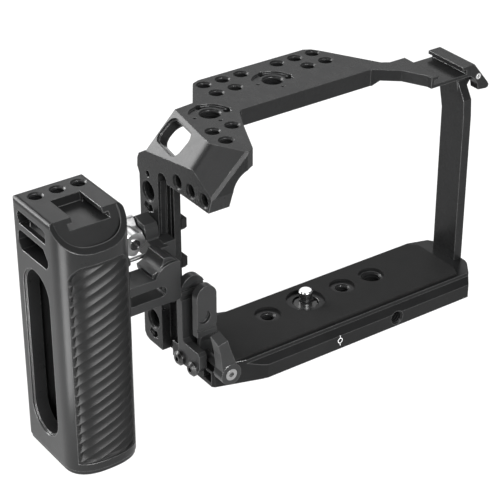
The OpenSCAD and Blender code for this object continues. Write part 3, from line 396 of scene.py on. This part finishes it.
def grow(name, mesh, group, sizes):
    # runs the tree on the mesh and keeps the result as a plain mesh in its one finish
    piece = bpy.data.objects.new(name, mesh)
    scene.collection.objects.link(piece)
    modifier = piece.modifiers.new("grow", "NODES")
    modifier.node_group = group
    for item in group.interface.items_tree:
        if item.item_type == "SOCKET" and item.in_out == "INPUT" and item.name in sizes:
            modifier[item.identifier] = sizes[item.name]
    bpy.context.view_layer.update()
    grown = piece.evaluated_get(bpy.context.evaluated_depsgraph_get())
    made = bpy.data.meshes.new_from_object(grown)
    made.materials.clear()
    made.materials.append(sizes["Material"])
    piece.modifiers.clear()
    piece.data = made
    return piece


def meshOf(name, bm, finish=None):
    # ends the work on a bmesh and returns it as a mesh
    mesh = bpy.data.meshes.new(name)
    bm.to_mesh(mesh)
    bm.free()
    if finish:
        mesh.materials.append(finish)
    return mesh


def joined(name, pieces, finish):
    # several plain meshes as one
    bm = bmesh.new()
    for piece in pieces:
        bm.from_mesh(piece.data)
        bpy.data.objects.remove(piece)
    whole = bpy.data.objects.new(name, meshOf(name, bm, finish))
    scene.collection.objects.link(whole)
    return whole


def pointsMesh(name, places, turns):
    # a point for each place, with its turn kept as an attribute
    mesh = bpy.data.meshes.new(name)
    mesh.from_pydata([Vector(p) * mm for p in places], [], [])
    kept = mesh.attributes.new("turn", "FLOAT_VECTOR", "POINT")
    kept.data.foreach_set("vector", [a for turn in turns for a in turn])
    return mesh


# helical threads in the tapped holes
threadGroup, tree, given = newGroup("threads", {"Radius": "Float", "Pitch": "Float", "Turns": "Float",
                                                "Ridge": "Float", "Material": "Material"})
height = given["Turns"] * given["Pitch"]
thread = coiled(tree, given, steps=28, corners=4, height=height, thick=given["Ridge"], upright=True)
endOnPoints(tree, given, thread)

quarter = {"bore": 2.75, "pitch": 1.27, "ridge": 0.42}
threeEighths = {"bore": 4.2, "pitch": 1.59, "ridge": 0.5}
down, right, up, forward = (math.pi, 0, 0), (0, math.pi / 2, 0), (0, 0, 0), (-math.pi / 2, 0, 0)
into = {down: (0, 0, -1), right: (1, 0, 0), up: (0, 0, 1), forward: (0, 1, 0)}

# places are those of the solids' holes; a thread starts under the chamfer, and plain is the part of a
# hole's depth that it leaves free at both ends together
holes = {"top": 98.5, "left": -65.3, "floor": -12.5, "step": 9.8, "start": 1.1, "plain": 1.9,
         "rows": (-26.6, 40.6), "firstRow": (0, 1, 2, 4, 5, 6), "secondRow": (0, 1, 5, 6),
         "trio": (-48.7, 1.2), "topLocating": ((0.6, 27.4), (-40.3, 15.5)),
         "sideLocating": ((26.2, 64.5), (25.2, 0.6)), "arm": (3.2, -6.6, -16.4), "armZ": 78.9,
         "tripod": (-21, 21), "tripodBig": 38, "rear": (32.6, -26, -8.1),
         "gripTop": 81.5, "gripMid": -111.85, "gripRow": 22.4, "grip": (-9.1, 0.9, 10.9)}
depths = {"top": 8, "side": 7.8, "arm": 10.3, "tripod": 11.3, "rear": 12, "grip": 9}


def threads(name, size, depth, places, turn):
    start = Vector(into[turn]) * holes["start"]
    mesh = pointsMesh(name, [Vector(p) + start for p in places], [turn] * len(places))
    return grow(name, mesh, threadGroup, {
        "Radius": size["bore"] * mm, "Pitch": size["pitch"] * mm, "Ridge": size["ridge"] * mm,
        "Turns": (depth - holes["plain"]) / size["pitch"], "Material": threadFinish})


def onTop(first, steps):
    # places on the top face, each some steps to the right of the first hole and to its rear
    x, y = first
    return [(x + i * holes["step"], y - j * holes["step"], holes["top"]) for i, j in steps]


topHoles = onTop(holes["rows"], [(i, 0) for i in holes["firstRow"]] + [(i, 1) for i in holes["secondRow"]])
topHoles += onTop(holes["trio"], [(0, 0), (1, 0), (0, 1)])
cageThreads = joined("cageThreads", [
    threads("topThreads", quarter, depths["top"], topHoles, down),
    threads("topLocating", threeEighths, depths["top"],
            [(x, y, holes["top"]) for x, y in holes["topLocating"]], down),
    threads("sideLocating", threeEighths, depths["side"],
            [(holes["left"], y, z) for y, z in holes["sideLocating"]], right),
    threads("armThreads", quarter, depths["arm"],
            [(holes["left"], y, holes["armZ"]) for y in holes["arm"]], right),
], threadFinish)
baseThreads = joined("baseThreads", [
    threads("tripodThreads", quarter, depths["tripod"],
            [(x, 0, holes["floor"]) for x in holes["tripod"]], up),
    threads("tripodBigThread", threeEighths, depths["tripod"],
            [(holes["tripodBig"], 0, holes["floor"])], up),
    threads("rearThread", quarter, depths["rear"], [holes["rear"]], forward),
], threadFinish)
handleThreads = threads("handleThreads", quarter, depths["grip"], [
    (holes["gripMid"] + x, holes["gripRow"], holes["gripTop"]) for x in holes["grip"]], down)
for piece, body, slotName in ((cageThreads, "cage", "cage_anodised"), (baseThreads, "cage", "base_anodised"),
                              (handleThreads, "handle", "handle_anodised")):
    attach(piece, body)
print("threads cut")


# coil springs
springGroup, tree, given = newGroup("coil", {"Radius": "Float", "Wire": "Float", "Turns": "Float",
                                             "Length": "Float", "Material": "Material"})
coil = coiled(tree, given, steps=32, corners=10, height=given["Length"], thick=given["Wire"])
endOnPoints(tree, given, coil)


def spring(name, look, start, length, turn, body, stands):
    # start and length are those of the wire's middle line
    piece = grow(name, pointsMesh(name, [start], [turn]), springGroup, {
        "Radius": look["radius"] * mm, "Wire": look["wire"] * mm, "Turns": look["turns"],
        "Length": length * mm, "Material": brightFinish})
    for face in piece.data.polygons:
        face.use_smooth = True
    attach(piece, body)
    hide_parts(stands)


leverSpring = {"seat": (-78.2, 24.5, 46.6), "radius": 2.52, "wire": 0.36, "turns": 4.6, "length": 2.9}
x, y, z = leverSpring["seat"]
spring("leverSpring", leverSpring, (x, y + leverSpring["wire"], z), leverSpring["length"], forward, "lever",
       "lever_spring")
lockSpring = {"y": 14.8, "z": 41.7, "radius": 1.4, "wire": 0.17, "turns": 2.2, "gap": 0.02}
low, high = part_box("lock_spring")
taken = lockSpring["wire"] + lockSpring["gap"]  # what the wire takes at each end
spring("lockSpring", lockSpring, (low.x / mm + taken, lockSpring["y"], lockSpring["z"]),
       (high.x - low.x) / mm - 2 * taken, right, "handle", "lock_spring")


# straight knurling round the lock knob
knurl = {"radius": 2.3, "ridges": 26, "size": 0.3, "end": 0.6}
knurlGroup, tree, given = newGroup("knurl", {"Radius": "Float", "Ridges": "Int", "Size": "Float",
                                             "Length": "Float", "Material": "Material"})
ring = tree.node("GeometryNodeMeshCircle", {}, {"Vertices": given["Ridges"], "Radius": given["Radius"]})
order = tree.node("GeometryNodeInputIndex")
angle = order * (2 * math.pi) / given["Ridges"] + math.pi / 4  # each bar shows a corner
spin = tree.node("ShaderNodeCombineXYZ", {}, {2: angle})
size = tree.node("ShaderNodeCombineXYZ", {}, {0: given["Size"], 1: given["Size"], 2: given["Length"]})
bar = tree.node("GeometryNodeMeshCube", {}, {0: size})
bars = tree.node("GeometryNodeInstanceOnPoints", {}, {0: ring, "Instance": bar, "Rotation": spin})
endOnPoints(tree, given, bars)
low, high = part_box("lock_knob")
knobMid = (low + high) / 2 / mm
knobKnurl = grow("knobKnurl", pointsMesh("knobKnurl", [knobMid], [right]), knurlGroup, {
    "Radius": knurl["radius"] * mm, "Ridges": knurl["ridges"], "Size": knurl["size"] * mm,
    "Length": (high.x - low.x) - 2 * knurl["end"] * mm, "Material": blackFinish})
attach(knobKnurl, "safety_pin")
print("springs and knurling made")


# the wave grip: a panel of rubber round the handle's rear; on its way down each wave rises slowly
# and falls off fast
wave = {"pitch": 4.83, "depth": 1.5, "border": -0.3, "power": 1.8, "rise": 0.88, "fade": 0.9,
        "inset": 0.4, "thick": 1.93, "columns": 66, "zero": 47.6, "slant": 0.38, "curl": 0.0006,
        "shift": 24.2, "above": 6, "below": 20, "weld": 0.004,
        "steps": (0, 0.1, 0.2, 0.3, 0.4, 0.5, 0.6, 0.7, 0.79, 0.86, 0.91, 0.95, 0.98)}
grip = {"mid": -111.85, "half": 16.95, "flat": -1.0, "round": 12.5, "power": 0.8, "points": 4001,
        "front": -9.4, "low": -32.0, "gap": 0.04,
        "high": ((-9.4, 58.6), (-10.5, 61.7), (-12.2, 64.2), (-15.5, 65.1))}


def planCurve():
    # the handle's plan with its length along the curve and its outward direction
    t = np.radians(180 + np.linspace(0, 180, grip["points"]))
    c, s = np.cos(t), np.sin(t)
    x = grip["mid"] + grip["half"] * np.sign(c) * np.abs(c) ** grip["power"]
    y = grip["flat"] - grip["round"] * np.abs(s) ** grip["power"]
    u = np.concatenate([[0], np.cumsum(np.hypot(np.diff(x), np.diff(y)))])
    dx, dy = np.gradient(x, u), np.gradient(y, u)
    return u, x, y, dy, -dx


planU, planX, planY, planNx, planNy = planCurve()
inside = planY < grip["front"] - grip["gap"]
uLow, uHigh = planU[inside][0], planU[inside][-1]
us = np.linspace(uLow, uHigh, wave["columns"])
xs, ys, nx, ny = (np.interp(us, planU, line) for line in (planX, planY, planNx, planNy))
length = np.hypot(nx, ny)
nx, ny = nx / length, ny / length
far = us - wave["shift"]
ridgeRise = wave["slant"] * far + wave["curl"] * far ** 3
edgeY, edgeZ = zip(*reversed(grip["high"]))
zTop = np.interp(ys, edgeY, edgeZ) - grip["gap"]
zLow = grip["low"] + grip["gap"]
levels = [k - step for k in range(wave["above"], -wave["below"], -1) for step in wave["steps"]]


def wavePanel():
    # rows follow the ridges, so that their crests stay sharp
    bm = bmesh.new()
    rib = bm.verts.layers.float.new("rib")
    fade = bm.verts.layers.float.new("fade")
    out = bm.verts.layers.float_vector.new("out")

    def smooth(v):
        v = min(max(v, 0.0), 1.0)
        return v * v * (3 - 2 * v)

    def lay(i, level, inner):
        z = min(max(wave["zero"] + ridgeRise[i] + level * wave["pitch"], zLow), zTop[i])
        depth = wave["thick"] if inner else 0.0
        x, y = xs[i] - nx[i] * depth, ys[i] - ny[i] * depth
        if inner:
            y = min(y, grip["front"] - grip["gap"])
        vert = bm.verts.new((x * mm, y * mm, z * mm))
        share = (wave["zero"] + ridgeRise[i] - z) / wave["pitch"]
        vert[rib] = share - math.floor(share + 1e-6)  # a whole number may come out a hair low
        near = min(us[i] - uLow, uHigh - us[i], zTop[i] - z, z - zLow)
        vert[fade] = smooth((near - wave["inset"]) / wave["fade"])
        if not inner:
            vert[out] = (nx[i], ny[i], 0)
        return vert

    outer = [[lay(i, level, False) for level in levels] for i in range(len(us))]
    inner = [[lay(i, level, True) for level in levels] for i in range(len(us))]
    last, end = len(us) - 1, len(levels) - 1
    for i in range(last):
        for j in range(end):
            bm.faces.new((outer[i][j], outer[i][j + 1], outer[i + 1][j + 1], outer[i + 1][j]))
            bm.faces.new((inner[i][j], inner[i + 1][j], inner[i + 1][j + 1], inner[i][j + 1]))
        bm.faces.new((outer[i][0], outer[i + 1][0], inner[i + 1][0], inner[i][0]))
        bm.faces.new((outer[i][end], inner[i][end], inner[i + 1][end], outer[i + 1][end]))
    for j in range(end):
        bm.faces.new((outer[0][j], inner[0][j], inner[0][j + 1], outer[0][j + 1]))
        bm.faces.new((outer[last][j], outer[last][j + 1], inner[last][j + 1], inner[last][j]))
    bmesh.ops.remove_doubles(bm, verts=bm.verts, dist=wave["weld"] * mm)
    bmesh.ops.recalc_face_normals(bm, faces=bm.faces)
    return meshOf("waveGrip", bm)


waveGroup, tree, given = newGroup("waves", {"Depth": "Float", "Border": "Float", "Power": "Float",
                                            "Material": "Material"})
share, blend = (attribute(tree, "FLOAT", name) for name in ("rib", "fade"))
swell = (share / wave["rise"]).least((1 - share) / (1 - wave["rise"])) ** given["Power"]
height = given["Border"] * (1 - blend) + (swell * given["Depth"] - given["Depth"]) * blend
push = tree.node("ShaderNodeVectorMath", {"operation": "SCALE"}, {
    0: attribute(tree, "FLOAT_VECTOR", "out"), "Scale": height})
moved = tree.node("GeometryNodeSetPosition", {}, {0: given["Geometry"], "Offset": push})
soft = tree.node("GeometryNodeSetShadeSmooth", {}, {0: moved, 2: True})
endGroup(tree, soft, given["Material"])
waveGrip = grow("waveGrip", wavePanel(), waveGroup, {
    "Depth": wave["depth"] * mm, "Border": wave["border"] * mm, "Power": wave["power"],
    "Material": gripFinish})
for name in ("rib", "fade", "out"):
    waveGrip.data.attributes.remove(waveGrip.data.attributes[name])
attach(waveGrip, "handle")
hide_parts("wave_grip")
print("wave grip moulded")


# the index mark on the base: a ring with a line above and below it
mark = {"x": 0.0, "z": -8.2, "outer": 1.35, "inner": 1.0, "line": 0.3, "reach": 2.6, "lap": 0.1,
        "proud": 0.04, "sunk": 0.05, "sides": 48}


def indexMark():
    # thin closed plates on the rear face
    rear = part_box("base_plate")[0].y / mm
    bm = bmesh.new()
    n = mark["sides"]

    def plate(outline, faces, loops):
        front, back = ([bm.verts.new((x * mm, y * mm, z * mm)) for x, z in outline]
                       for y in (rear - mark["proud"], rear + mark["sunk"]))
        for ids in faces:
            bm.faces.new([front[i] for i in ids])
            bm.faces.new([back[i] for i in reversed(ids)])
        for loop in loops:
            for a, b in zip(loop, loop[1:] + loop[:1]):
                bm.faces.new((front[a], back[a], back[b], front[b]))

    turns = [2 * math.pi * i / n for i in range(n)]
    rings = [(mark["x"] + r * math.cos(a), mark["z"] + r * math.sin(a))
             for r in (mark["outer"], mark["inner"]) for a in turns]
    plate(rings, [(i, (i + 1) % n, n + (i + 1) % n, n + i) for i in range(n)],
          [list(range(n)), list(range(n, 2 * n))])
    near, far = mark["outer"] - mark["lap"], mark["reach"]
    for low, high in ((near, far), (-far, -near)):
        line = [(mark["x"] + side * mark["line"] / 2, mark["z"] + z)
                for side, z in ((-1, low), (1, low), (1, high), (-1, high))]
        plate(line, [(0, 1, 2, 3)], [[0, 1, 2, 3]])
    bmesh.ops.recalc_face_normals(bm, faces=bm.faces)
    piece = bpy.data.objects.new("indexMark", meshOf("indexMark", bm, markFinish))
    scene.collection.objects.link(piece)
    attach(piece, "cage")


indexMark()
print("index mark laid")


# floor, light and camera, in metres and degrees; only the paper's grain is in mm
room = {"floor": -0.0605, "size": 6.0, "tone": 0.86, "grain": 4, "grainTone": 0.94, "grainShare": 0.04,
        "lift": 0.62, "sky": (0.97, 0.985, 1, 1), "skyStrength": 0.24}


def makeFloor():
    # the paper is lifted towards white in view and in reflections, and still takes the shadow
    mesh = bpy.data.meshes.new("floor")
    half = room["size"] / 2
    corners = [(x * half, y * half, room["floor"]) for x, y in ((-1, -1), (1, -1), (1, 1), (-1, 1))]
    mesh.from_pydata(corners, [], [(0, 1, 2, 3)])
    floor = bpy.data.objects.new("floor", mesh)
    scene.collection.objects.link(floor)
    material, tree = newTree("floorPaper")
    paper = tree.noise(room["grain"])
    tint = tree.mixed(paper * room["grainShare"], grey(room["tone"]),
                      grey(room["tone"] * room["grainTone"]))
    matt = tree.node("ShaderNodeBsdfDiffuse", {}, {"Color": tint})
    glow = tree.node("ShaderNodeEmission", {}, {"Strength": 1.0})
    seen, gloss, through = (tree.node("ShaderNodeLightPath", out="Is %s Ray" % ray)
                            for ray in ("Camera", "Glossy", "Transmission"))
    share = (seen + gloss + through).clamped() * room["lift"]
    mixed = tree.node("ShaderNodeMixShader", {}, {0: share, 1: matt, 2: glow})
    tree.node("ShaderNodeOutputMaterial", {}, {"Surface": mixed})
    mesh.materials.append(material)


def makeWorld():
    world = bpy.data.worlds.new("studio")
    scene.world = world
    world.use_nodes = True
    world.node_tree.nodes.clear()
    tree = Tree(world.node_tree)
    glow = tree.node("ShaderNodeBackground", {}, {"Color": room["sky"], "Strength": room["skyStrength"]})
    tree.node("ShaderNodeOutputWorld", {}, {"Surface": glow})


def softBox(name, lamp):
    # an area lamp; an azimuth of 0 lights from +Y, and one of 90 from +X
    data = bpy.data.lights.new(name, "AREA")
    data.shape = "RECTANGLE"
    data.size, data.size_y = lamp["size"]
    data.energy = lamp["radiance"] * math.pi * data.size * data.size_y
    box = bpy.data.objects.new(name, data)
    scene.collection.objects.link(box)
    azimuth, elevation = (math.radians(a) for a in lamp["from"])
    away = Vector((math.sin(azimuth) * math.cos(elevation), math.cos(azimuth) * math.cos(elevation),
                   math.sin(elevation)))
    box.location = Vector(lamp["at"]) + away * lamp["away"]
    box.rotation_euler = away.to_track_quat("Z", "Y").to_euler()
    box.visible_camera = False


middle, gripMiddle, gripCorner = (-0.02, 0.0, 0.04), (-0.112, 0.01, 0.02), (-0.128, -0.006, 0.011)
lights = {
    "slantBox": {"at": middle, "from": (-24, 22), "away": 1.3, "size": (0.8, 0.5), "radiance": 17},
    "facetBox": {"at": middle, "from": (-81, 45), "away": 1.3, "size": (0.6, 0.6), "radiance": 5},
    "fillBox": {"at": middle, "from": (-172, 30), "away": 1.5, "size": (1.0, 0.8), "radiance": 8},
    "topBox": {"at": middle, "from": (20, 80), "away": 1.3, "size": (1.1, 1.1), "radiance": 1.4},
    "rearBox": {"at": middle, "from": (35, 32), "away": 1.6, "size": (0.9, 0.5), "radiance": 2.1},
    "crestBox": {"at": gripMiddle, "from": (184, 25), "away": 0.9, "size": (0.4, 0.24), "radiance": 15},
    "cornerBox": {"at": gripCorner, "from": (-104, 0), "away": 0.05, "size": (0.034, 0.094), "radiance": 11}}

makeFloor()
makeWorld()
for name, lamp in lights.items():
    softBox(name, lamp)

shot = {"place": (-0.4047, -0.5297, 0.4165), "turn": (59.62, 0, -35.22), "lens": 124.86, "sensor": 36,
        "clip": (0.02, 20)}
view = bpy.data.cameras.new("view")
view.lens = shot["lens"]
view.sensor_width = shot["sensor"]
view.clip_start, view.clip_end = shot["clip"]
camera = bpy.data.objects.new("view", view)
scene.collection.objects.link(camera)
camera.location = shot["place"]
camera.rotation_euler = Euler([math.radians(a) for a in shot["turn"]])
scene.camera = camera
print("camera and light set")
